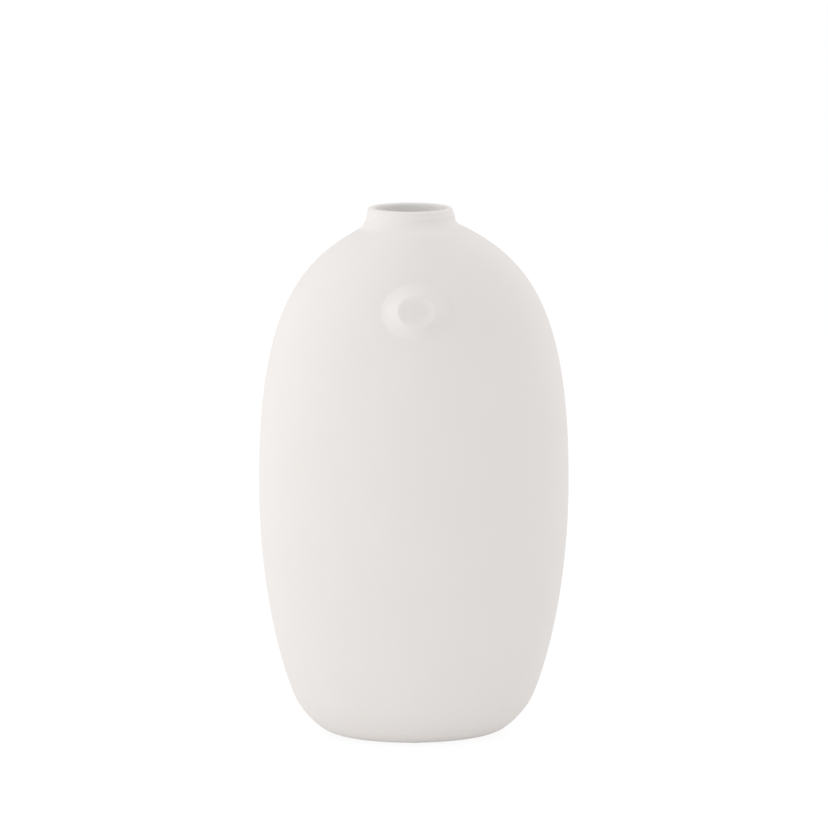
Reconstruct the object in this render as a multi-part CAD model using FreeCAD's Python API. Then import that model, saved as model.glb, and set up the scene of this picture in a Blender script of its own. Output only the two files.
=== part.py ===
import FreeCAD, Part
import math
import os

# A pillow vase: a flattened oval vessel of matte white stoneware, with a short round neck and an oval, dished
# button on the front of its shoulder. It is luted together from clay parts: a cast body wall, a base slab, a neck
# collar and the button, which sits in a shallow seat. A glaze lines the inside, and four round pads keep the
# clay off the furniture.
#
# Millimetres, +Z up, front towards -Y, width along X. The origin is the middle of the footprint, on the
# surface that the vase stands on.

Vector = FreeCAD.Vector

# The whole vase
OVERALL_HEIGHT = 250.0
BODY_WIDTH = 145.0
BODY_DEPTH = 89.8
BELLY_HEIGHT = 118.4

# Clay, glaze and the film of slip in each luted joint
WALL = 3.8
GLAZE_THICKNESS = 0.4
SLIP_JOINT = 0.05

# Flat underside, and the point where the rounded heel turns into the wall
FLAT_WIDTH = 76.0
FLAT_DEPTH = 47.0
HEEL_HEIGHT = 17.3
HEEL_INSET = 16.0
HEEL_INSET_DEPTH = 9.9
HEEL_SLOPE_DEG = 67.4
HEEL_SLOPE_DEPTH_DEG = 75.5

# Round seat on top of the shoulder, where the neck stands
SEAT_DIAMETER = 51.8
SEAT_DROP = 10.6
SEAT_SLOPE_DEG = 28.4
SEAT_SLOPE_DEPTH_DEG = 48.0

# Base slab, let into the bottom of the wall, and the pads under it
SLAB_THICKNESS = 5.0
SLAB_INSET = 4.0
PAD_DIAMETER = 13.0
PAD_THICKNESS = 0.9
PAD_INSET = 2.5

# Neck collar, which leans a little to the left of the body
BORE_DIAMETER = 33.2
LIP_THICKNESS = 4.1
LIP_LAND = 0.4
WAIST_DIAMETER = 40.7
WAIST_DROP = 3.7
NECK_SHIFT = 1.5

# Button on the front
BUTTON_DROP = 42.9
BUTTON_WIDTH = 33.0
CREST_WIDTH = 18.0
DISH_WIDTH = 9.0
BUTTON_RISE = 4.8
DISH_DEPTH = 0.5
BUTTON_SEAT_DEPTH = 1.4

# How far a cutting shape runs past the clay that it cuts
OVERRUN = 6.0

# Reach of an outline's handles, as shares of the run or the rise between the two points that they join
HEEL_RUN_SHARE = 0.36
HEEL_RISE_SHARE = 0.35
WALL_RISE_SHARES = (0.155, 0.483)
SHOULDER_RISE_SHARES = (0.682, 0.126)
FLARE_RISE_SHARES = (0.26, 0.52)
LIP_RISE_SHARES = (0.33, 0.33)
QUARTER_ROUND_SHARE = 0.552

# Height of the oval button, as a share of its width
BUTTON_HEIGHT_SHARE = 0.82

# Fineness of the curves: points on each stretch of an outline, levels in the cavity, points round a ring,
# points each way on the button's sheet, and halvings when a height is looked up
STRETCH_POINTS = 9
CAVITY_LEVELS = 28
RING_POINTS = 24
SHEET_POINTS = 33
HALVINGS = 40

# Heights that several parts share
SLAB_TOP = PAD_THICKNESS + SLAB_THICKNESS
SEAT_HEIGHT = OVERALL_HEIGHT - SEAT_DROP
CAVITY_TOP = SEAT_HEIGHT - WALL
WAIST_HEIGHT = OVERALL_HEIGHT - WAIST_DROP
LIP_ROUND = (LIP_THICKNESS - LIP_LAND) / 2
BULGE_HEIGHT = OVERALL_HEIGHT - LIP_ROUND


# An outline is a curve of points (half width, half depth, height), so one curve describes the shape both
# from the front and from the side.

def run_over(rise, slope_deg):
    """Horizontal run of a line that climbs by rise at a slope from the horizontal."""
    return rise / math.tan(math.radians(slope_deg))


def stretch(*handles):
    """Points on one smooth stretch of an outline, without its last point."""
    curve = Part.BezierCurve()
    curve.setPoles([Vector(*handle) for handle in handles])
    return [curve.value(step / STRETCH_POINTS) for step in range(STRETCH_POINTS)]


def outline_through(points):
    curve = Part.BSplineCurve()
    curve.interpolate(points)
    return curve


def body_outline():
    """From the edge of the flat underside, round the heel and over the belly, up to the seat of the neck."""
    half_width, half_depth = BODY_WIDTH / 2, BODY_DEPTH / 2
    flat = (FLAT_WIDTH / 2, FLAT_DEPTH / 2, PAD_THICKNESS)
    heel = (half_width - HEEL_INSET, half_depth - HEEL_INSET_DEPTH, PAD_THICKNESS + HEEL_HEIGHT)
    belly = (half_width, half_depth, BELLY_HEIGHT)
    seat = (SEAT_DIAMETER / 2, SEAT_DIAMETER / 2, SEAT_HEIGHT)

    heel_drop = (heel[2] - flat[2]) * HEEL_RISE_SHARE
    wall_rise = belly[2] - heel[2]
    low_rise = wall_rise * WALL_RISE_SHARES[0]
    shoulder_rise = seat[2] - belly[2]
    seat_drop = shoulder_rise * SHOULDER_RISE_SHARES[1]

    points = stretch(
        flat,
        (flat[0] + (heel[0] - flat[0]) * HEEL_RUN_SHARE, flat[1] + (heel[1] - flat[1]) * HEEL_RUN_SHARE, flat[2]),
        (heel[0] - run_over(heel_drop, HEEL_SLOPE_DEG), heel[1] - run_over(heel_drop, HEEL_SLOPE_DEPTH_DEG),
         heel[2] - heel_drop),
        heel,
    )
    points += stretch(
        heel,
        (heel[0] + run_over(low_rise, HEEL_SLOPE_DEG), heel[1] + run_over(low_rise, HEEL_SLOPE_DEPTH_DEG),
         heel[2] + low_rise),
        (belly[0], belly[1], belly[2] - wall_rise * WALL_RISE_SHARES[1]),
        belly,
    )
    points += stretch(
        belly,
        (belly[0], belly[1], belly[2] + shoulder_rise * SHOULDER_RISE_SHARES[0]),
        (seat[0] + run_over(seat_drop, SEAT_SLOPE_DEG), seat[1] + run_over(seat_drop, SEAT_SLOPE_DEPTH_DEG),
         seat[2] - seat_drop),
        seat,
    )
    return outline_through(points + [Vector(*seat)])


def collar_outline():
    """From the seat, up the hollow flare to the waist and out again to the rounded lip."""
    seat, waist = SEAT_DIAMETER / 2, WAIST_DIAMETER / 2
    bulge = BORE_DIAMETER / 2 + LIP_THICKNESS
    land = bulge - LIP_ROUND
    flare_rise = WAIST_HEIGHT - SEAT_HEIGHT
    first_rise = flare_rise * FLARE_RISE_SHARES[0]
    lip_rise = BULGE_HEIGHT - WAIST_HEIGHT
    round_reach = LIP_ROUND * QUARTER_ROUND_SHARE

    points = stretch(
        (seat, seat, SEAT_HEIGHT),
        (seat - run_over(first_rise, SEAT_SLOPE_DEG), seat - run_over(first_rise, SEAT_SLOPE_DEPTH_DEG),
         SEAT_HEIGHT + first_rise),
        (waist, waist, WAIST_HEIGHT - flare_rise * FLARE_RISE_SHARES[1]),
        (waist, waist, WAIST_HEIGHT),
    )
    points += stretch(
        (waist, waist, WAIST_HEIGHT),
        (waist, waist, WAIST_HEIGHT + lip_rise * LIP_RISE_SHARES[0]),
        (bulge, bulge, BULGE_HEIGHT - lip_rise * LIP_RISE_SHARES[1]),
        (bulge, bulge, BULGE_HEIGHT),
    )
    points += stretch(
        (bulge, bulge, BULGE_HEIGHT),
        (bulge, bulge, BULGE_HEIGHT + round_reach),
        (land + round_reach, land + round_reach, OVERALL_HEIGHT),
        (land, land, OVERALL_HEIGHT),
    )
    return outline_through(points + [Vector(land, land, OVERALL_HEIGHT)])


def level(outline, height):
    """The outline's point at a height, and its direction there."""
    low, high = outline.FirstParameter, outline.LastParameter
    for _ in range(HALVINGS):
        middle = (low + high) / 2
        if outline.value(middle).z < height:
            low = middle
        else:
            high = middle
    return outline.getD1(low)


def inset_outline(outline, inset, floor, top):
    """The outline of a hollow whose skin lies an inset inside the outline, measured square to the wall."""
    middle, half = (floor + top) / 2, (top - floor) / 2
    points = []
    for step in range(CAVITY_LEVELS + 1):
        height = middle - half * math.cos(math.pi * step / CAVITY_LEVELS)
        point, direction = level(outline, height)
        across_width = inset * math.hypot(1, direction.x / direction.z)
        across_depth = inset * math.hypot(1, direction.y / direction.z)
        points.append(Vector(point.x - across_width, point.y - across_depth, height))
    return outline_through(points)


# Solids

def centred(height):
    return 0


def neck_lean(height):
    """Where the neck's middle lies along X: over the body's at the seat, and shifted from the waist up."""
    share = (height - SEAT_HEIGHT) / (WAIST_HEIGHT - SEAT_HEIGHT)
    return -NECK_SHIFT * min(max(share, 0), 1)


def flat_end(rim, faces_up):
    end = Part.Face(Part.Wire([rim]))
    if (end.normalAt(0, 0).z > 0) != faces_up:
        end.reverse()
    return end


def oval_solid(outline, middle=centred):
    """A closed solid with an oval section at each height, flat at both ends."""
    turns = [2 * math.pi * step / RING_POINTS for step in range(RING_POINTS)]
    ring = Part.BSplineCurve()
    ring.interpolate(Points=[Vector(-math.sin(turn), math.cos(turn), 0) for turn in turns], PeriodicFlag=True)
    poles = [
        [Vector(middle(p.z) + r.x * p.x, r.y * p.y, p.z) for p in outline.getPoles()]
        for r in ring.getPoles()
    ]
    surface = Part.BSplineSurface()
    surface.buildFromPolesMultsKnots(
        poles, ring.getMultiplicities(), outline.getMultiplicities(), ring.getKnots(), outline.getKnots(),
        True, False, ring.Degree, outline.Degree,
    )
    skin = surface.toShape()
    rims = sorted((edge for edge in skin.Edges if edge.isClosed()), key=lambda edge: edge.CenterOfMass.z)
    return Part.Solid(Part.Shell([skin, flat_end(rims[0], False), flat_end(rims[1], True)]))


def oval_plate(half_width, half_depth, bottom, thickness):
    edge = Part.Ellipse(Vector(0, 0, bottom), half_width, half_depth).toShape()
    return Part.Face(Part.Wire([edge])).extrude(Vector(0, 0, thickness))


def bore_plug():
    """What the hole through the neck takes away: a straight bore, rounded over at the lip."""
    radius = BORE_DIAMETER / 2
    above = OVERALL_HEIGHT + OVERRUN
    below = CAVITY_TOP - OVERRUN
    eased = LIP_ROUND * (1 - math.sqrt(0.5))
    corners = [
        Vector(0, 0, below),
        Vector(radius, 0, below),
        Vector(radius, 0, BULGE_HEIGHT),
        Vector(radius + LIP_ROUND, 0, OVERALL_HEIGHT),
        Vector(radius + LIP_ROUND, 0, above),
        Vector(0, 0, above),
    ]
    over_lip = Part.Arc(corners[2], Vector(radius + eased, 0, OVERALL_HEIGHT - eased), corners[3]).toShape()
    sides = [Part.makeLine(a, b) for a, b in zip(corners, corners[1:] + corners[:1])]
    sides[2] = over_lip
    plug = Part.Face(Part.Wire(sides)).revolve(Vector(0, 0, 0), Vector(0, 0, 1), 360)
    plug.translate(Vector(-NECK_SHIFT, 0, 0))
    return plug


# Button

def front_point(outline, x, height):
    """The point of the body's front face at a place along X and a height."""
    point = level(outline, height)[0]
    return Vector(x, -point.y * math.sqrt(1 - (x / point.x) ** 2), height)


def button_axis(outline):
    """The middle of the button on the body's face, and the direction in which it faces."""
    height = OVERALL_HEIGHT - BUTTON_DROP
    direction = level(outline, height)[1]
    facing = Vector(0, -direction.z, -direction.y)
    return front_point(outline, 0, height), facing.normalize()


def ease(share):
    """Rises from 0 to 1 and is level at both ends."""
    return share * share * (3 - 2 * share)


def sweep(share):
    """Rises from 0 to 1, ever steeper."""
    return share ** 1.5


def button_relief(distance):
    """How far the button stands out of the body, by the distance from its axis as measured across its width."""
    edge, crest, dish = BUTTON_WIDTH / 2, CREST_WIDTH / 2, DISH_WIDTH / 2
    if distance >= edge:
        return 0
    if distance >= crest:
        return BUTTON_RISE * sweep((edge - distance) / (edge - crest))
    if distance >= dish:
        return BUTTON_RISE - DISH_DEPTH * ease((crest - distance) / (crest - dish))
    return BUTTON_RISE - DISH_DEPTH


def front_sheet(outline, reach, relief):
    """A sheet over the body's front about the button's axis, raised from the body by relief(distance)."""
    middle, facing = button_axis(outline)
    upward = facing.cross(Vector(1, 0, 0))
    places = [reach * (2 * step / (SHEET_POINTS - 1) - 1) for step in range(SHEET_POINTS)]
    rows = []
    for rise in places:
        row = []
        for x in places:
            foot = front_point(outline, x, middle.z + rise)
            arm = foot - middle
            distance = math.hypot(arm.x, arm.dot(upward) / BUTTON_HEIGHT_SHARE)
            row.append(foot + facing * relief(distance))
        rows.append(row)
    sheet = Part.BSplineSurface()
    sheet.interpolate(rows)
    return sheet.toShape()


def button_column(outline, clearance):
    """An oval column along the button's axis, wider than the button by a clearance all round."""
    middle, facing = button_axis(outline)
    half_width = BUTTON_WIDTH / 2
    edge = Part.Ellipse(Vector(), half_width + clearance, half_width * BUTTON_HEIGHT_SHARE + clearance).toShape()
    section = Part.Face(Part.Wire([edge]))
    across = Vector(1, 0, 0)
    turned = FreeCAD.Rotation(across, facing.cross(across), facing, "ZXY")
    section.Placement = FreeCAD.Placement(middle - facing * BUTTON_WIDTH, turned)
    return section.extrude(facing * (2 * BUTTON_WIDTH))


def above_seat(outline, reach, depth):
    """Everything outside a floor that follows the body's face at a depth."""
    facing = button_axis(outline)[1]
    floor = front_sheet(outline, reach, lambda distance: -depth)
    return floor.extrude(facing * BUTTON_WIDTH)


def button(outline):
    reach = BUTTON_WIDTH / 2 + OVERRUN
    facing = button_axis(outline)[1]
    under_face = front_sheet(outline, reach, button_relief).extrude(facing * -BUTTON_WIDTH)
    blank = button_column(outline, 0).common(above_seat(outline, reach, BUTTON_SEAT_DEPTH))
    return blank.common(under_face)


def button_seat(outline):
    reach = BUTTON_WIDTH / 2 + OVERRUN
    floor = above_seat(outline, reach, BUTTON_SEAT_DEPTH + SLIP_JOINT)
    return button_column(outline, SLIP_JOINT).common(floor)


# Parts

def slab_size():
    return FLAT_WIDTH / 2 - SLAB_INSET, FLAT_DEPTH / 2 - SLAB_INSET


def body_shell(outline):
    cavity = oval_solid(inset_outline(outline, WALL, SLAB_TOP, CAVITY_TOP))
    half_width, half_depth = slab_size()
    slab_hole = oval_plate(
        half_width + SLIP_JOINT, half_depth + SLIP_JOINT, PAD_THICKNESS - OVERRUN, SLAB_THICKNESS + 2 * OVERRUN
    )
    return oval_solid(outline).cut([cavity, slab_hole, bore_plug(), button_seat(outline)])


def base_slab():
    half_width, half_depth = slab_size()
    return oval_plate(half_width, half_depth, PAD_THICKNESS, SLAB_THICKNESS)


def neck_collar():
    return oval_solid(collar_outline(), neck_lean).cut(bore_plug())


def inner_glaze(outline):
    """The glazed film over the wall, the slab and the underside of the seat, open under the neck."""
    outer = WALL + SLIP_JOINT
    floor, top = SLAB_TOP + SLIP_JOINT, CAVITY_TOP - SLIP_JOINT
    film = oval_solid(inset_outline(outline, outer, floor, top))
    hollow = oval_solid(
        inset_outline(outline, outer + GLAZE_THICKNESS, floor + GLAZE_THICKNESS, top - GLAZE_THICKNESS)
    )
    return film.cut([hollow, bore_plug()])


def foot_pads():
    """One pad near each end of the underside's two axes."""
    reach_x = FLAT_WIDTH / 2 - PAD_INSET - PAD_DIAMETER / 2
    reach_y = FLAT_DEPTH / 2 - PAD_INSET - PAD_DIAMETER / 2
    places = {"front": (0, -reach_y), "back": (0, reach_y), "left": (-reach_x, 0), "right": (reach_x, 0)}
    return {
        "foot_pad_" + side: Part.makeCylinder(PAD_DIAMETER / 2, PAD_THICKNESS, Vector(x, y, 0))
        for side, (x, y) in places.items()
    }


def main():
    outline = body_outline()
    nodes = {
        "body_shell": body_shell(outline),
        "base_slab": base_slab(),
        "neck_collar": neck_collar(),
        "button": button(outline),
        "inner_glaze": inner_glaze(outline),
    }
    nodes.update(foot_pads())
    os.makedirs("parts", exist_ok=True)
    for name, shape in nodes.items():
        solids = shape.Solids
        print(name, len(solids), shape.isValid(), round(shape.Volume, 1), shape.BoundBox)
        solids[0].exportStep("parts/" + name + ".step")


main()
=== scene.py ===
import math

import bpy
import numpy as np
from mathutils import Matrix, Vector


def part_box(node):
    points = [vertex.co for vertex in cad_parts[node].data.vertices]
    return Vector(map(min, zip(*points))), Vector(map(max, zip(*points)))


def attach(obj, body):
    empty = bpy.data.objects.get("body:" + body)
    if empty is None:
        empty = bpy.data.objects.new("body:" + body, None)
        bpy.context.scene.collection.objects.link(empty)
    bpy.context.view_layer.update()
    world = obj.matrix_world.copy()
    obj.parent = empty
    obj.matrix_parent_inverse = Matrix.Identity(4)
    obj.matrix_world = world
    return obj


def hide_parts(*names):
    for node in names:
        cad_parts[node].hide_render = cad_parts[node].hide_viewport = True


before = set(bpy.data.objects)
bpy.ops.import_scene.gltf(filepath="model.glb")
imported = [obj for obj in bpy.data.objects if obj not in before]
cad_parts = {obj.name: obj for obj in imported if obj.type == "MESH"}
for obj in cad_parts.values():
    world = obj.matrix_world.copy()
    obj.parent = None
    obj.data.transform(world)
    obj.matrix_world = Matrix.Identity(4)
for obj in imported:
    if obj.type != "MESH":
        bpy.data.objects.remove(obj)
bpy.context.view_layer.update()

# A pillow vase of matte off-white stoneware, in metres. +Z is up, the front with the button faces
# -Y, and the vase stands on z = 0. Each CAD node is replaced by a finer mesh made of rings, or of
# sheets that follow the wall, so the pieces meet as the clay parts do. The meshes have the solids'
# shapes, with small changes that stay inside the solids' box: the lip is drawn in above the waist,
# the neck's shift is reached lower down, the loose edges are rounded, and the face is hollowed a
# little round the button.

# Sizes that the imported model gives
BODY_LOW, BODY_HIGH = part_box("body_shell")
SLAB_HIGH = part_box("base_slab")[1]
UNDERSIDE = BODY_LOW.z
SEAT_HEIGHT = BODY_HIGH.z
SLAB_TOP = SLAB_HIGH.z
RIM_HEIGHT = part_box("neck_collar")[1].z
HALF_WIDTH = (BODY_HIGH.x - BODY_LOW.x) / 2
HALF_DEPTH = (BODY_HIGH.y - BODY_LOW.y) / 2

# Outline of the body. Pairs are for the width and for the depth, but pairs of shares are for the
# first and the last handle of a curve.
BELLY_HEIGHT = 0.1184
FLAT = (0.038, 0.0235)
HEEL_INSET = (0.016, 0.0099)
HEEL_HEIGHT = 0.0173
HEEL_SLOPES_DEG = (67.4, 75.5)
SEAT_RADIUS = 0.0259
SEAT_SLOPES_DEG = (28.4, 48.0)
HEEL_RUN_SHARE = 0.36
HEEL_RISE_SHARE = 0.35
WALL_RISE_SHARES = (0.155, 0.483)
SHOULDER_RISE_SHARES = (0.682, 0.126)

# Neck collar. From the waist up, its outside is drawn in by the taper and to -X by the lean. The
# shift along X is reached over a share of the flare's rise. The drop is from the rim.
BORE_RADIUS = 0.0166
LIP_THICKNESS = 0.0041
LIP_LAND = 0.0004
LIP_TAPER = 0.0009
LIP_LEAN = 0.0003
LIP_RISE_SHARES = (0.33, 0.33)
WAIST_RADIUS = 0.02035
WAIST_DROP = 0.0037
FLARE_RISE_SHARES = (0.26, 0.52)
NECK_SHIFT = -0.0015
NECK_SHIFT_SHARE = 0.5

# Oval button, and the shallow hollow round it. The radii are across the width, and the drop is from
# the rim to the button's middle.
BUTTON_DROP = 0.0429
BUTTON_RADIUS = 0.0165
CREST_RADIUS = 0.009
DISH_RADIUS = 0.0045
BUTTON_HEIGHT_SHARE = 0.82
BUTTON_RISE = 0.0048
FLANK_POWER = 1.5
DISH_DEPTH = 0.0005
CREST_SOFTNESS = 0.0003
BUTTON_SEAT_DEPTH = 0.0014
TUFT_RADIUS = 0.025
TUFT_DEPTH = 0.0004

# Wall, film of glaze, film of slip, and the hairline left where the button's joint was sponged
WALL = 0.0038
GLAZE = 0.0004
SLIP = 0.00005
HAIRLINE = 0.000004

# Rounding of the loose edges of the slab and the pads, and the handles that make a quarter round
SLAB_ROUND = 0.0005
PAD_ROUND = 0.0003
QUARTER_ROUND_SHARE = 0.552

# Softening of the body's bends: its reach, and how many reaches out it looks
SOFTENING = 0.002
SOFTENING_SPAN = 3

# The patch of the front that carries the button: half its height and width, and its rings
WINDOW = 0.0265
WINDOW_RINGS = 16

# Fineness of the meshes, and how close points lie that are one
COLUMNS = 288
CURVE_POINTS = 400
DENSE_STEP = 0.00005
BODY_STEP = 0.0012
COLLAR_STEP = 0.00025
INSIDE_STEP = 0.003
BUTTON_RINGS = 72
PLAIN_RINGS = 8
WELD = 0.0000002

# Heights and radii that several pieces share, and the bore's oval: shift, half width, half depth
CAVITY_TOP = SEAT_HEIGHT - WALL
WAIST_HEIGHT = RIM_HEIGHT - WAIST_DROP
LIP_ROUND = (LIP_THICKNESS - LIP_LAND) / 2
BULGE_RADIUS = BORE_RADIUS + LIP_THICKNESS
BULGE_HEIGHT = RIM_HEIGHT - LIP_ROUND
BUTTON_HEIGHT = RIM_HEIGHT - BUTTON_DROP
THROAT = (NECK_SHIFT, BORE_RADIUS, BORE_RADIUS)


# A line is an array of rows (shift, half width, half depth, height). Each row is an oval ring.

def run_over(rise, slope_deg):
    return rise / math.tan(math.radians(slope_deg))


def ease(share):
    """Rises from 0 to 1 and is level at both ends."""
    share = np.clip(share, 0, 1)
    return share * share * (3 - 2 * share)


def bezier(handles, count=CURVE_POINTS):
    a, b, c, d = (np.array(handle, float) for handle in handles)
    t = np.linspace(0, 1, count)[:, None]
    u = 1 - t
    return u ** 3 * a + 3 * u ** 2 * t * b + 3 * u * t ** 2 * c + t ** 3 * d


def joined(stretches):
    """One line from several that meet end to end."""
    return np.vstack([stretches[0]] + [stretch[1:] for stretch in stretches[1:]])


def evenly(line, step):
    """The same line with its points about a step apart."""
    along = np.r_[0, np.cumsum(np.linalg.norm(np.diff(line, axis=0), axis=1))]
    places = np.linspace(0, along[-1], max(int(round(along[-1] / step)), 2) + 1)
    return np.column_stack([np.interp(places, along, column) for column in line.T])


def softened(line, reach, step):
    """The line with its bends evened out over a reach. Its ends stay where they are."""
    span = int(SOFTENING_SPAN * reach / step)
    weights = np.exp(-0.5 * (np.arange(-span, span + 1) * step / reach) ** 2)
    weights /= weights.sum()
    columns = []
    for column in line.T:
        before = 2 * column[0] - column[span:0:-1]
        after = 2 * column[-1] - column[-2:-span - 2:-1]
        columns.append(np.convolve(np.r_[before, column, after], weights, "valid"))
    return np.column_stack(columns)


def body_line():
    """From the flat underside round the heel and over the belly, up to the seat of the neck."""
    flat = np.array((0, *FLAT, UNDERSIDE))
    heel = np.array((
        0, HALF_WIDTH - HEEL_INSET[0], HALF_DEPTH - HEEL_INSET[1], UNDERSIDE + HEEL_HEIGHT
    ))
    belly = np.array((0, HALF_WIDTH, HALF_DEPTH, BELLY_HEIGHT))
    seat = np.array((0, SEAT_RADIUS, SEAT_RADIUS, SEAT_HEIGHT))

    def climb(rise, slopes):
        return np.array((0, run_over(rise, slopes[0]), run_over(rise, slopes[1]), rise))

    wall_rise = belly[3] - heel[3]
    shoulder_rise = seat[3] - belly[3]
    run = (heel - flat) * HEEL_RUN_SHARE * (1, 1, 1, 0)
    up = np.array((0, 0, 0, 1))
    seat_drop = climb(shoulder_rise * SHOULDER_RISE_SHARES[1], SEAT_SLOPES_DEG) * (1, 1, 1, -1)
    line = joined([
        bezier((
            flat, flat + run,
            heel - climb(HEEL_HEIGHT * HEEL_RISE_SHARE, HEEL_SLOPES_DEG), heel,
        )),
        bezier((
            heel, heel + climb(wall_rise * WALL_RISE_SHARES[0], HEEL_SLOPES_DEG),
            belly - up * wall_rise * WALL_RISE_SHARES[1], belly,
        )),
        bezier((
            belly, belly + up * shoulder_rise * SHOULDER_RISE_SHARES[0],
            seat + seat_drop, seat,
        )),
    ])
    return softened(evenly(line, DENSE_STEP), SOFTENING, DENSE_STEP)


def collar_line():
    """From the seat up the hollow flare and over the drawn-in lip, then down the bore again."""
    flare_rise = WAIST_HEIGHT - SEAT_HEIGHT
    first_rise = flare_rise * FLARE_RISE_SHARES[0]
    lip_rise = BULGE_HEIGHT - WAIST_HEIGHT
    reach = LIP_ROUND * QUARTER_ROUND_SHARE
    outer, inner = BULGE_RADIUS - LIP_ROUND, BORE_RADIUS + LIP_ROUND

    def at(radius, height):
        return (0, radius, radius, height)

    foot = (0, SEAT_RADIUS - run_over(first_rise, SEAT_SLOPES_DEG[0]),
            SEAT_RADIUS - run_over(first_rise, SEAT_SLOPES_DEG[1]), SEAT_HEIGHT + first_rise)
    line = evenly(joined([
        bezier((
            at(SEAT_RADIUS, SEAT_HEIGHT), foot,
            at(WAIST_RADIUS, WAIST_HEIGHT - flare_rise * FLARE_RISE_SHARES[1]),
            at(WAIST_RADIUS, WAIST_HEIGHT),
        )),
        bezier((
            at(WAIST_RADIUS, WAIST_HEIGHT),
            at(WAIST_RADIUS, WAIST_HEIGHT + lip_rise * LIP_RISE_SHARES[0]),
            at(BULGE_RADIUS, BULGE_HEIGHT - lip_rise * LIP_RISE_SHARES[1]),
            at(BULGE_RADIUS, BULGE_HEIGHT),
        )),
        bezier((
            at(BULGE_RADIUS, BULGE_HEIGHT), at(BULGE_RADIUS, BULGE_HEIGHT + reach),
            at(outer + reach, RIM_HEIGHT), at(outer, RIM_HEIGHT),
        )),
        np.array((at(outer, RIM_HEIGHT), at(inner, RIM_HEIGHT))),
        bezier((
            at(inner, RIM_HEIGHT), at(inner - reach, RIM_HEIGHT),
            at(BORE_RADIUS, BULGE_HEIGHT + reach), at(BORE_RADIUS, BULGE_HEIGHT),
        )),
        np.array((at(BORE_RADIUS, BULGE_HEIGHT), at(BORE_RADIUS, SEAT_HEIGHT))),
    ]), COLLAR_STEP)

    radius, height = line[:, 1], line[:, 3]
    outside = np.arange(len(line)) <= np.argmax(height)
    shifted = ease((height - SEAT_HEIGHT) / flare_rise / NECK_SHIFT_SHARE)
    line[:, 0] = NECK_SHIFT * np.where(outside, shifted, 1)
    above_waist = ease((height - WAIST_HEIGHT) / lip_rise)
    drawn_in = (radius - BORE_RADIUS) / LIP_THICKNESS * above_waist
    return line - np.outer(drawn_in, (LIP_LEAN, LIP_TAPER, LIP_TAPER, 0))


BODY_LINE = body_line()
BODY_SLOPE = np.gradient(BODY_LINE, axis=0)
LEAST_RISE = DENSE_STEP ** 2


def inset_line(inset, floor, top):
    """The wall of a hollow that lies an inset inside the body, from its top down to its floor."""
    heights = np.linspace(top, floor, int((top - floor) / INSIDE_STEP))
    width, depth, height = BODY_LINE.T[1:]
    rise = np.maximum(BODY_SLOPE[:, 3], LEAST_RISE)
    inner_width = width - inset * np.hypot(1, BODY_SLOPE[:, 1] / rise)
    inner_depth = depth - inset * np.hypot(1, BODY_SLOPE[:, 2] / rise)
    return np.column_stack([
        np.zeros_like(heights),
        np.interp(heights, height, inner_width),
        np.interp(heights, height, inner_depth),
        heights,
    ])


# Meshes

TURNS = np.linspace(0, 2 * math.pi, COLUMNS, endpoint=False)


def unit(vectors):
    lengths = np.linalg.norm(vectors, axis=-1, keepdims=True)
    return vectors / np.where(lengths > 0, lengths, 1)


def ring_points(line, slope):
    """Points and normals of oval rings. The columns start at the back and run by the +X side."""
    shift, width, depth, height = (column[:, None] for column in line.T)
    d_shift, d_width, d_depth, d_height = (column[:, None] for column in slope.T)
    sine, cosine = np.sin(TURNS)[None], np.cos(TURNS)[None]
    level = np.zeros_like(width * sine)
    points = np.stack([shift + width * sine, depth * cosine, height + level], axis=-1)
    along = np.stack([d_shift + d_width * sine, d_depth * cosine, d_height + level], axis=-1)
    around = np.stack([
        np.maximum(width, WELD) * cosine, -np.maximum(depth, WELD) * sine, level
    ], axis=-1)
    return points, unit(np.cross(along, around))


class Clay:
    """Collects sheets of points that share their edges, each with its own normals, and makes one
    closed mesh."""

    def __init__(self):
        self.points, self.normals, self.faces, self.count = [], [], [], 0

    def sheet(self, points, normals, keep=None):
        """A sheet of rows and columns that closes on itself across the columns."""
        rows, columns = points.shape[:2]
        for j in range(rows - 1):
            near, far = self.count + j * columns, self.count + (j + 1) * columns
            for i in range(columns):
                if keep is None or keep(j, i):
                    k = (i + 1) % columns
                    self.faces.append((near + i, far + i, far + k, near + k))
        self.points.append(points.reshape(-1, 3))
        self.normals.append(normals.reshape(-1, 3))
        self.count += rows * columns

    def rings(self, *line):
        line = np.array(line)
        edge_order = 2 if len(line) > 2 else 1
        self.sheet(*ring_points(line, np.gradient(line, axis=0, edge_order=edge_order)))

    def move(self, x, y):
        for points in self.points:
            points += (x, y, 0)

    def welded(self):
        """Points, faces and corner normals, where points that lie together are one."""
        points, normals = np.vstack(self.points), np.vstack(self.normals)
        _, first, place = np.unique(
            np.round(points / WELD), axis=0, return_index=True, return_inverse=True
        )
        place = place.reshape(-1)
        faces, corner_normals = [], []
        for face in self.faces:
            corners = [n for k, n in enumerate(face) if place[n] != place[face[k - 1]]]
            if len(corners) > 2:
                faces.append([int(place[n]) for n in corners])
                corner_normals += [normals[n].tolist() for n in corners]
        used = sorted({n for face in faces for n in face})
        number = {n: k for k, n in enumerate(used)}
        faces = [[number[n] for n in face] for face in faces]
        return points[first[used]].tolist(), faces, corner_normals

    def piece(self, node, name, material):
        """The mesh as the visible piece that takes a CAD node's place."""
        points, faces, normals = self.welded()
        mesh = bpy.data.meshes.new(name)
        mesh.from_pydata(points, [], faces)
        mesh.polygons.foreach_set("use_smooth", [True] * len(mesh.polygons))
        mesh.normals_split_custom_set(normals)
        mesh.materials.append(material)
        made = bpy.data.objects.new(name, mesh)
        bpy.context.scene.collection.objects.link(made)
        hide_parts(node)
        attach(made, "root")


# Front face and the button on it. A place on the button's face is (p, q), across it and up it.

FRONT_TRIES = 14
NORMAL_REACH = 0.0002


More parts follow.
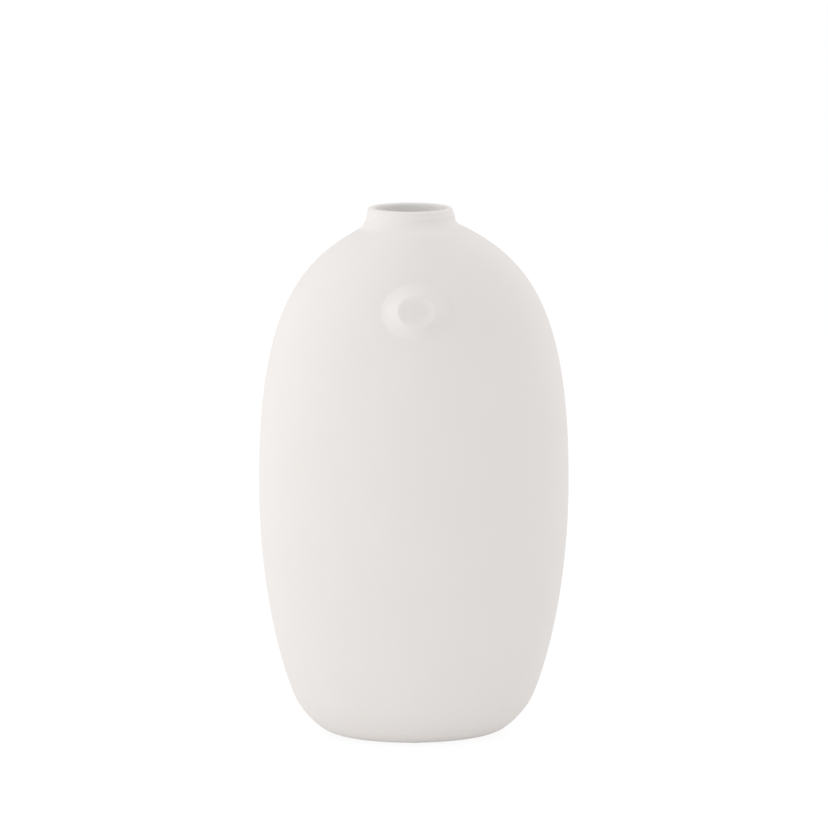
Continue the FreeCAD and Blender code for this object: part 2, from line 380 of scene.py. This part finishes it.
def front_depth(x, z):
    """Y of the body's plain front face."""
    width = np.interp(z, BODY_LINE[:, 3], BODY_LINE[:, 1])
    depth = np.interp(z, BODY_LINE[:, 3], BODY_LINE[:, 2])
    return -depth * np.sqrt(np.maximum(1 - (x / width) ** 2, 0))


def facing_at(height):
    """The direction that the middle of the front face looks in at a height."""
    row = np.searchsorted(BODY_LINE[:, 3], height)
    return unit(np.array((0, -1, -BODY_SLOPE[row, 2] / BODY_SLOPE[row, 3])))


FACING = facing_at(BUTTON_HEIGHT)
UPWARD = np.array((0, FACING[2], -FACING[1]))
BUTTON_MIDDLE = np.array((0, front_depth(0, BUTTON_HEIGHT), BUTTON_HEIGHT))


def from_axis(p, q):
    """Distance from the button's axis, by the width of the oval that runs through the place."""
    return np.hypot(p, q / BUTTON_HEIGHT_SHARE)


def raised(p, q, height):
    """Points of the front face moved out by height(distance from the button's axis)."""
    z = BUTTON_HEIGHT + q
    for _ in range(FRONT_TRIES):
        y = front_depth(p, z)
        z = BUTTON_MIDDLE[2] + (q - (y - BUTTON_MIDDLE[1]) * UPWARD[1]) / UPWARD[2]
    plain = np.stack([p, front_depth(p, z), z], axis=-1)
    return plain + height(from_axis(p, q))[..., None] * FACING


def raised_sheet(p, q, height):
    """Points and normals of the front face moved out."""
    across = raised(p + NORMAL_REACH, q, height) - raised(p - NORMAL_REACH, q, height)
    upward = raised(p, q + NORMAL_REACH, height) - raised(p, q - NORMAL_REACH, height)
    return raised(p, q, height), unit(np.cross(across, upward))


def oval(radius, turn):
    """Places on an oval of the button."""
    return radius * np.cos(turn), radius * BUTTON_HEIGHT_SHARE * np.sin(turn)


def outward(turn):
    """Directions that an oval of the button faces in."""
    across = BUTTON_HEIGHT_SHARE * np.cos(turn)
    return unit(across[:, None] * np.array((1, 0, 0)) + np.sin(turn)[:, None] * UPWARD)


def tuft(distance):
    return -TUFT_DEPTH * ease(1 - distance / TUFT_RADIUS)


def relief(distance):
    """A flank that grows ever steeper, cut off by the dish, with a softened crest between them."""
    up_flank = np.maximum((BUTTON_RADIUS - distance) / (BUTTON_RADIUS - CREST_RADIUS), 0)
    into_dish = (CREST_RADIUS - distance) / (CREST_RADIUS - DISH_RADIUS)
    flank = BUTTON_RISE * up_flank ** FLANK_POWER
    dish = BUTTON_RISE - DISH_DEPTH * ease(into_dish)
    return tuft(distance) + (flank + dish - np.hypot(flank - dish, CREST_SOFTNESS)) / 2


def seat_floor(distance):
    return np.full_like(distance, -BUTTON_SEAT_DEPTH - SLIP)


def under_button(distance):
    return np.full_like(distance, -BUTTON_SEAT_DEPTH)


# Pieces

def body_outside(clay):
    """The outer skin, with a patch in front that runs from square to oval. Returns the turns of the
    patch's columns."""
    line = evenly(BODY_LINE, BODY_STEP)
    dense_rows = np.arange(len(BODY_LINE))
    rows = np.linspace(0, dense_rows[-1], len(line))
    slope = np.column_stack([np.interp(rows, dense_rows, column) for column in BODY_SLOPE.T])
    points, normals = ring_points(line, slope)
    arm = points - BUTTON_MIDDLE
    p, q = arm[..., 0], arm @ UPWARD
    near = (from_axis(p, q) < TUFT_RADIUS) & (points[..., 1] < 0)
    points[near], normals[near] = raised_sheet(p[near], q[near], tuft)

    beside = np.flatnonzero(np.abs(line[:, 3] - BUTTON_HEIGHT) < WINDOW)
    low, high = beside[0], beside[-1]
    half = int(WINDOW / (2 * math.pi * HALF_WIDTH / COLUMNS))
    start, end = COLUMNS // 2 - half, COLUMNS // 2 + half
    clay.sheet(points, normals, lambda j, i: not (low <= j < high and start <= i < end))

    border = [(j, start) for j in range(low, high)]
    border += [(high, i) for i in range(start, end)]
    border += [(j, end) for j in range(high, low, -1)]
    border += [(low, i) for i in range(end, start, -1)]
    j, i = np.array(border).T
    edge_p, edge_q = p[j, i], q[j, i]
    turn = np.arctan2(edge_q / BUTTON_HEIGHT_SHARE, edge_p)
    inner_p, inner_q = oval(BUTTON_RADIUS, turn)
    share = np.linspace(0, 1, WINDOW_RINGS)[:, None]
    patch_p = inner_p * (1 - share) + edge_p * share
    patch_q = inner_q * (1 - share) + edge_q * share
    patch, patch_normals = raised_sheet(patch_p, patch_q, tuft)
    patch[-1], patch_normals[-1] = points[j, i], normals[j, i]
    clay.sheet(patch, patch_normals)
    return turn


def button_seat(clay, turn):
    """The wall and the floor of the oval seat behind the button."""
    p, q = oval(BUTTON_RADIUS, turn)
    inward = -outward(turn)
    wall = np.stack([raised(p, q, seat_floor), raised(p, q, tuft)])
    clay.sheet(wall, np.stack([inward, inward]))
    share = np.linspace(0, 1, PLAIN_RINGS)[:, None]
    clay.sheet(*raised_sheet(p * share, q * share, seat_floor))


def make_body(material):
    clay = Clay()
    button_seat(clay, body_outside(clay))
    wall = inset_line(WALL, SLAB_TOP, CAVITY_TOP)
    hole = (0, SLAB_HIGH.x + SLIP, SLAB_HIGH.y + SLIP)
    clay.rings((0, SEAT_RADIUS, SEAT_RADIUS, SEAT_HEIGHT), (*THROAT, SEAT_HEIGHT))
    clay.rings((*THROAT, SEAT_HEIGHT), (*THROAT, CAVITY_TOP))
    clay.rings((*THROAT, CAVITY_TOP), wall[0])
    clay.rings(*wall)
    clay.rings(wall[-1], (*hole, SLAB_TOP))
    clay.rings((*hole, SLAB_TOP), (*hole, UNDERSIDE))
    clay.rings((*hole, UNDERSIDE), (0, *FLAT, UNDERSIDE))
    clay.piece("body_shell", "vase_body", material)


def make_collar(material):
    clay = Clay()
    line = collar_line()
    clay.rings(*line)
    clay.rings(line[-1], line[0])
    clay.piece("neck_collar", "vase_neck", material)


def make_button(material):
    clay = Clay()
    p, q = oval(BUTTON_RADIUS - HAIRLINE, TURNS)
    sides = outward(TURNS)
    share = np.linspace(0, 1, BUTTON_RINGS)[:, None]
    clay.sheet(*raised_sheet(p * share, q * share, relief))
    wall = np.stack([raised(p, q, relief), raised(p, q, under_button)])
    clay.sheet(wall, np.stack([sides, sides]))
    share = np.linspace(1, 0, PLAIN_RINGS)[:, None]
    points, normals = raised_sheet(p * share, q * share, under_button)
    clay.sheet(points, -normals)
    clay.piece("button", "vase_button", material)


def rounded_plate(clay, half_width, half_depth, bottom, top, rounding):
    """An oval plate whose lower edge is rounded over."""
    reach = rounding * (1 - QUARTER_ROUND_SHARE)
    edge = bezier((
        (0, half_width - rounding, half_depth - rounding, bottom),
        (0, half_width - reach, half_depth - reach, bottom),
        (0, half_width, half_depth, bottom + reach),
        (0, half_width, half_depth, bottom + rounding),
    ), PLAIN_RINGS)
    rim = (0, half_width, half_depth, top)
    clay.rings((0, 0, 0, bottom), edge[0])
    clay.rings(*edge)
    clay.rings(edge[-1], rim)
    clay.rings(rim, (0, 0, 0, top))


def make_slab(material):
    clay = Clay()
    rounded_plate(clay, SLAB_HIGH.x, SLAB_HIGH.y, UNDERSIDE, SLAB_TOP, SLAB_ROUND)
    clay.piece("base_slab", "vase_base", material)


def make_pad(side, material):
    node = "foot_pad_" + side
    low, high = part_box(node)
    middle = (low + high) / 2
    clay = Clay()
    rounded_plate(clay, high.x - middle.x, high.y - middle.y, low.z, high.z, PAD_ROUND)
    clay.move(middle.x, middle.y)
    clay.piece(node, "vase_pad_" + side, material)


def make_lining(material):
    """The film of glaze over the wall and the floor, open under the neck."""
    clay = Clay()
    floor, top = SLAB_TOP + SLIP, CAVITY_TOP - SLIP
    outside = inset_line(WALL + SLIP, floor, top)[::-1]
    inside = inset_line(WALL + SLIP + GLAZE, floor + GLAZE, top - GLAZE)
    clay.rings((0, 0, 0, floor), outside[0])
    clay.rings(*outside)
    clay.rings(outside[-1], (*THROAT, top))
    clay.rings((*THROAT, top), (*THROAT, top - GLAZE))
    clay.rings((*THROAT, top - GLAZE), inside[0])
    clay.rings(*inside)
    clay.rings(inside[-1], (0, 0, 0, floor + GLAZE))
    clay.piece("inner_glaze", "vase_lining", material)


# Materials: colours

CLAY_LIGHT = (0.782, 0.751, 0.73)
CLAY_DARK = (0.772, 0.741, 0.718)
CLAY_FLECK = (0.62, 0.57, 0.52)
# Painted shade: the darker tone that the button's dish is mixed toward, for the shade in its hollow
CLAY_DISH_SHADE = (0.62, 0.595, 0.575)
BARE_LIGHT = (0.75, 0.72, 0.685)
BARE_DARK = (0.7, 0.665, 0.625)
SCUFF = (0.52, 0.49, 0.46)
GLAZE_LIGHT = (0.9, 0.89, 0.875)
GLAZE_DARK = (0.86, 0.845, 0.825)
PAD_LIGHT = (0.82, 0.81, 0.785)
PAD_DARK = (0.74, 0.73, 0.71)

# Patterns of noise: cells per metre, detail, and the levels of the noise where the pattern starts
# and is full
CLAY_CLOUDS = (28, 4, 0.3, 0.7)
CLAY_FLECKS = (1700, 1, 0.74, 0.8)
CLAY_SHEEN = (900, 2, 0.3, 0.7)
FOOT_RUBBING = (650, 6, 0.48, 0.7)
NECK_POOLS = (60, 3, 0.3, 0.7)
BARE_CLOUDS = (90, 5, 0.3, 0.7)
BARE_SCUFFS = (260, 6, 0.58, 0.7)
LINING_POOLS = (40, 3, 0.3, 0.7)
LINING_SHEEN = (200, 3, 0.3, 0.7)
PAD_CLOUDS = (500, 2, 0.3, 0.7)
PAD_SHEEN = (1500, 2, 0.3, 0.7)
PAD_WEAR = (700, 4, 0.45, 0.65)

# Bumps of noise: cells per metre, detail, and height
BODY_SWELL = (60, 2, 0.00009)
BUTTON_SWELL = (60, 2, 0.00006)
NECK_SWELL = (60, 2, 0.00005)
CLAY_GRAIN = (1400, 3, 0.000012)
BARE_SWELL = (110, 3, 0.00015)
BARE_GRAIN = (1600, 4, 0.00004)
LINING_SWELL = (120, 2, 0.00008)
LINING_GRAIN = (900, 2, 0.000006)
PAD_GRAIN = (2500, 2, 0.00001)

# Roughness, and strength of the specular
CLAY_ROUGHNESS = (0.78, 0.92)
BARE_ROUGHNESS = 0.93
NECK_GLAZE_ROUGHNESS = 0.25
LINING_ROUGHNESS = (0.12, 0.24)
PAD_ROUGHNESS = (0.5, 0.7)
CLAY_SPECULAR = 0.25
NECK_SPECULAR = 0.3
BARE_SPECULAR = 0.2
LINING_SPECULAR = 0.5
PAD_SPECULAR = 0.35

# How far each mark covers what is under it
FLECK_SHARE = 0.35
# The next share is painted shade in the button's dish
DISH_SHADE_SHARE = 0.22
RUBBED_SHARE = 0.3
SCUFFED_SHARE = 0.5
WORN_SHARE = 0.3

# How high the foot is rubbed. The edge of the glaze in the neck: its drop from the rim, its reach
# outward from the bore, how far it fades, and how ragged it is, with the noise of that.
RUBBED_HEIGHT = HEEL_HEIGHT / 5
GLAZE_DROP = 0.0014
GLAZE_REACH = LIP_ROUND / 2
GLAZE_FADE = LIP_ROUND / 4
GLAZE_RAGGEDNESS = LIP_ROUND / 2
RAGGED_NOISE = (160, 3)


class Surface:
    """A material whose looks follow from the place on the object."""

    def __init__(self, name):
        self.material = bpy.data.materials.new(name)
        self.material.use_nodes = True
        self.tree = self.material.node_tree
        self.shader = self.tree.nodes["Principled BSDF"]
        self.place = self.node("ShaderNodeTexCoord").outputs["Object"]

    def node(self, kind, **settings):
        made = self.tree.nodes.new(kind)
        for name, value in settings.items():
            setattr(made, name, value)
        return made

    def feed(self, socket, value):
        """Links a value to a socket, or sets it there when it is a constant."""
        if isinstance(value, bpy.types.NodeSocket):
            self.tree.links.new(value, socket)
        else:
            socket.default_value = value

    def fed(self, made, *values):
        """The node, with the values at its first sockets."""
        for socket, value in zip(made.inputs, values):
            self.feed(socket, value)
        return made

    def noise(self, scale, detail):
        made = self.node("ShaderNodeTexNoise")
        for name, value in (("Vector", self.place), ("Scale", scale), ("Detail", detail)):
            self.feed(made.inputs[name], value)
        return made.outputs["Fac"]

    def spread(self, value, start, end, low=0.0, high=1.0):
        """The value from start to end mapped onto low to high, and held there beyond them."""
        made = self.node("ShaderNodeMapRange", clamp=True)
        return self.fed(made, value, start, end, low, high).outputs["Result"]

    def pattern(self, look, low=0.0, high=1.0):
        """One of the patterns of noise, mapped onto low to high."""
        scale, detail, start, end = look
        return self.spread(self.noise(scale, detail), start, end, low, high)

    def product(self, first, second):
        made = self.node("ShaderNodeMath", operation="MULTIPLY")
        return self.fed(made, first, second).outputs[0]

    def ragged(self, value, noise, depth):
        """The value raised unevenly, by up to a depth."""
        made = self.node("ShaderNodeMath", operation="MULTIPLY_ADD")
        return self.fed(made, self.noise(*noise), depth, value).outputs[0]

    def blend(self, share, first, second):
        """From the first colour to the second."""
        made = self.node("ShaderNodeMix", data_type="RGBA")
        self.feed(made.inputs["Factor"], share)
        ends = [socket for socket in made.inputs if socket.type == "RGBA"]
        for socket, colour in zip(ends, (first, second)):
            self.feed(socket, (*colour, 1) if isinstance(colour, tuple) else colour)
        return next(socket for socket in made.outputs if socket.type == "RGBA")

    def between(self, share, first, second):
        """From the first number to the second."""
        made = self.node("ShaderNodeMix", data_type="FLOAT")
        factor, _, start, end = made.inputs[:4]
        for socket, value in ((factor, share), (start, first), (end, second)):
            self.feed(socket, value)
        return made.outputs[0]

    def height(self):
        return self.fed(self.node("ShaderNodeSeparateXYZ"), self.place).outputs["Z"]

    def distance(self, stretch, shift):
        """How far the place is from the origin after a stretch and a shift."""
        arm = self.fed(
            self.node("ShaderNodeVectorMath", operation="MULTIPLY_ADD"), self.place, stretch, shift
        )
        length = self.node("ShaderNodeVectorMath", operation="LENGTH")
        return self.fed(length, arm.outputs[0]).outputs["Value"]

    def from_neck(self):
        """Distance from the neck's axis."""
        return self.distance((1, 1, 0), (-NECK_SHIFT, 0, 0))

    def from_button(self):
        """Distance from the middle of the button, by the width of its ovals."""
        stretch = np.array((1, 1 / BUTTON_HEIGHT_SHARE, 1 / BUTTON_HEIGHT_SHARE))
        return self.distance(stretch.tolist(), (-BUTTON_MIDDLE * stretch).tolist())

    def bumps(self, *layers):
        """Bumps of noise, one over another."""
        last = None
        for scale, detail, height in layers:
            made = self.node("ShaderNodeBump")
            self.feed(made.inputs["Strength"], 1.0)
            self.feed(made.inputs["Distance"], height)
            self.feed(made.inputs["Height"], self.noise(scale, detail))
            if last is not None:
                self.feed(made.inputs["Normal"], last)
            last = made.outputs["Normal"]
        self.feed(self.shader.inputs["Normal"], last)

    def finish(self, colour, roughness, specular):
        self.feed(self.shader.inputs["Base Color"], colour)
        self.feed(self.shader.inputs["Roughness"], roughness)
        self.feed(self.shader.inputs["Specular IOR Level"], specular)
        return self.material


def matte_clay(surface):
    """Colour and roughness of the sponged outside: cloudy, with a rare fleck, and rubbed a little
    at the foot."""
    cloudy = surface.blend(surface.pattern(CLAY_CLOUDS), CLAY_LIGHT, CLAY_DARK)
    colour = surface.blend(surface.pattern(CLAY_FLECKS, 0, FLECK_SHARE), cloudy, CLAY_FLECK)
    rubbed = surface.product(
        surface.spread(surface.height(), UNDERSIDE, UNDERSIDE + RUBBED_HEIGHT, RUBBED_SHARE, 0),
        surface.pattern(FOOT_RUBBING),
    )
    return surface.blend(rubbed, colour, SCUFF), surface.pattern(CLAY_SHEEN, *CLAY_ROUGHNESS)


def body_clay():
    surface = Surface("clay_body")
    colour, roughness = matte_clay(surface)
    surface.bumps(BODY_SWELL, CLAY_GRAIN)
    return surface.finish(colour, roughness, CLAY_SPECULAR)


def button_clay():
    """The same clay, with painted shade that darkens the dish a little, standing in for the shade
    in its hollow.
    """
    surface = Surface("clay_button")
    colour, roughness = matte_clay(surface)
    # Painted shade: the dish is darkened, most at its middle, fading out toward the crest
    dish_shade = surface.spread(surface.from_button(), DISH_RADIUS, CREST_RADIUS, DISH_SHADE_SHARE, 0)
    surface.bumps(BUTTON_SWELL, CLAY_GRAIN)
    return surface.finish(surface.blend(dish_shade, colour, CLAY_DISH_SHADE), roughness, CLAY_SPECULAR)


def neck_clay():
    """The same clay, with the glaze of the inside coming up to just under the lip in an uneven
    line."""
    surface = Surface("clay_neck")
    colour, roughness = matte_clay(surface)
    height = surface.ragged(surface.height(), RAGGED_NOISE, GLAZE_RAGGEDNESS)
    line = RIM_HEIGHT - GLAZE_DROP
    glazed = surface.product(
        surface.spread(height, line, line + GLAZE_FADE, 1, 0),
        surface.spread(surface.from_neck(), BORE_RADIUS, BORE_RADIUS + GLAZE_REACH, 1, 0),
    )
    glaze = surface.blend(surface.pattern(NECK_POOLS), GLAZE_LIGHT, GLAZE_DARK)
    surface.bumps(NECK_SWELL, CLAY_GRAIN)
    return surface.finish(
        surface.blend(glazed, colour, glaze),
        surface.between(glazed, roughness, NECK_GLAZE_ROUGHNESS),
        NECK_SPECULAR,
    )


def bare_clay():
    """The unglazed base: drier, a little coarser, and scuffed where it has been set down."""
    surface = Surface("clay_base")
    colour = surface.blend(surface.pattern(BARE_CLOUDS), BARE_LIGHT, BARE_DARK)
    scuffed = surface.pattern(BARE_SCUFFS, 0, SCUFFED_SHARE)
    surface.bumps(BARE_SWELL, BARE_GRAIN)
    return surface.finish(surface.blend(scuffed, colour, SCUFF), BARE_ROUGHNESS, BARE_SPECULAR)


def lining_glaze():
    surface = Surface("liner_glaze")
    colour = surface.blend(surface.pattern(LINING_POOLS), GLAZE_LIGHT, GLAZE_DARK)
    roughness = surface.pattern(LINING_SHEEN, *LINING_ROUGHNESS)
    surface.bumps(LINING_SWELL, LINING_GRAIN)
    return surface.finish(colour, roughness, LINING_SPECULAR)


def pad_rubber():
    surface = Surface("pad_rubber")
    worn = surface.product(
        surface.spread(surface.height(), 0, PAD_ROUND, WORN_SHARE, 0), surface.pattern(PAD_WEAR)
    )
    tone = surface.blend(surface.pattern(PAD_CLOUDS), PAD_LIGHT, PAD_DARK)
    roughness = surface.pattern(PAD_SHEEN, *PAD_ROUGHNESS)
    surface.bumps(PAD_GRAIN)
    return surface.finish(surface.blend(worn, tone, SCUFF), roughness, PAD_SPECULAR)


# Stage: white to the camera, with a faint shadow, and plain pale for the light that it throws back.
# The floor's pairs are the tone of its paint and its glow, for the vase and for the camera.

WORLD_LEVEL = 0.843
FLOOR_HALF = 3.0
FLOOR_PALE = (0.8, 0.158)
FLOOR_SEEN = (0.12, 0.905)
LAMP_DISTANCE = 1.4
LAMP_SIZE = 1.1


def seen_directly(tree):
    """1 for what the camera sees, straight or mirrored in a gloss, and 0 for light that falls on
    the vase."""
    path = tree.nodes.new("ShaderNodeLightPath")
    either = tree.nodes.new("ShaderNodeMath")
    either.operation = "MAXIMUM"
    tree.links.new(path.outputs["Is Camera Ray"], either.inputs[0])
    tree.links.new(path.outputs["Is Glossy Ray"], either.inputs[1])
    return either.outputs[0]


def glowing_paint(tree, tone, glow):
    """Matt paint of one tone that also glows."""
    paint = tree.nodes.new("ShaderNodeBsdfDiffuse")
    paint.inputs["Color"].default_value = (tone, tone, tone, 1)
    light = tree.nodes.new("ShaderNodeEmission")
    light.inputs["Strength"].default_value = glow
    both = tree.nodes.new("ShaderNodeAddShader")
    tree.links.new(paint.outputs[0], both.inputs[0])
    tree.links.new(light.outputs[0], both.inputs[1])
    return both.outputs[0]


def floor_paint():
    material = bpy.data.materials.new("floor_paint")
    material.use_nodes = True
    tree = material.node_tree
    tree.nodes.remove(tree.nodes["Principled BSDF"])
    both = tree.nodes.new("ShaderNodeMixShader")
    tree.links.new(seen_directly(tree), both.inputs["Fac"])
    tree.links.new(glowing_paint(tree, *FLOOR_PALE), both.inputs[1])
    tree.links.new(glowing_paint(tree, *FLOOR_SEEN), both.inputs[2])
    tree.links.new(both.outputs[0], tree.nodes["Material Output"].inputs["Surface"])
    return material


def make_floor():
    signs = ((-1, -1), (1, -1), (1, 1), (-1, 1))
    corners = [(x * FLOOR_HALF, y * FLOOR_HALF, 0) for x, y in signs]
    mesh = bpy.data.meshes.new("floor")
    mesh.from_pydata(corners, [], [(0, 1, 2, 3)])
    mesh.materials.append(floor_paint())
    floor = bpy.data.objects.new("floor", mesh)
    bpy.context.scene.collection.objects.link(floor)


def make_world():
    world = bpy.data.worlds.new("surroundings")
    bpy.context.scene.world = world
    world.use_nodes = True
    tree = world.node_tree
    level = tree.nodes.new("ShaderNodeMapRange")
    level.inputs["To Min"].default_value = WORLD_LEVEL
    level.inputs["To Max"].default_value = 1.0
    tree.links.new(seen_directly(tree), level.inputs["Value"])
    tree.links.new(level.outputs["Result"], tree.nodes["Background"].inputs["Strength"])
    tree.nodes["Background"].inputs["Color"].default_value = (1, 1, 1, 1)


def make_lamp(name, azimuth, elevation, power):
    """A soft round panel that faces the middle of the vase. Azimuth 0 is in front, and positive is
    to the left."""
    turn, rise = math.radians(azimuth), math.radians(elevation)
    aim = Vector((0, 0, RIM_HEIGHT / 2))
    back = Vector((
        -math.sin(turn) * math.cos(rise), -math.cos(turn) * math.cos(rise), math.sin(rise)
    ))
    data = bpy.data.lights.new(name, "AREA")
    data.shape = "DISK"
    data.size = LAMP_SIZE
    data.energy = power
    lamp = bpy.data.objects.new(name, data)
    lamp.location = aim + back * LAMP_DISTANCE
    lamp.rotation_euler = back.to_track_quat("Z", "Y").to_euler()
    bpy.context.scene.collection.objects.link(lamp)


# Camera. It looks down by the pitch, in radians, and its distance is measured level.

CAMERA_AZIMUTH_DEG = 1.9
CAMERA_PITCH = 0.182
CAMERA_DISTANCE = 1.5042
CAMERA_HEIGHT = 0.4298
FOCAL_PIXELS = 3278
FRAME_PIXELS = 828
SENSOR_MM = 36.0


def make_camera():
    data = bpy.data.cameras.new("camera")
    data.sensor_width = SENSOR_MM
    data.lens = SENSOR_MM * FOCAL_PIXELS / FRAME_PIXELS
    camera = bpy.data.objects.new("camera", data)
    turn = math.radians(CAMERA_AZIMUTH_DEG)
    camera.location = (
        -CAMERA_DISTANCE * math.sin(turn), -CAMERA_DISTANCE * math.cos(turn), CAMERA_HEIGHT
    )
    camera.rotation_euler = (math.pi / 2 - CAMERA_PITCH, 0, -turn)
    bpy.context.scene.collection.objects.link(camera)
    bpy.context.scene.camera = camera


def main():
    make_body(body_clay())
    make_collar(neck_clay())
    make_button(button_clay())
    make_slab(bare_clay())
    make_lining(lining_glaze())
    rubber = pad_rubber()
    for side in ("front", "back", "left", "right"):
        make_pad(side, rubber)
    make_floor()
    make_world()
    make_lamp("key", azimuth=60, elevation=5, power=4.1)
    make_lamp("side", azimuth=95, elevation=35, power=2.85)
    make_lamp("far_side", azimuth=-110, elevation=40, power=3.7)
    make_camera()
    bpy.context.scene.view_settings.view_transform = "Standard"


main()
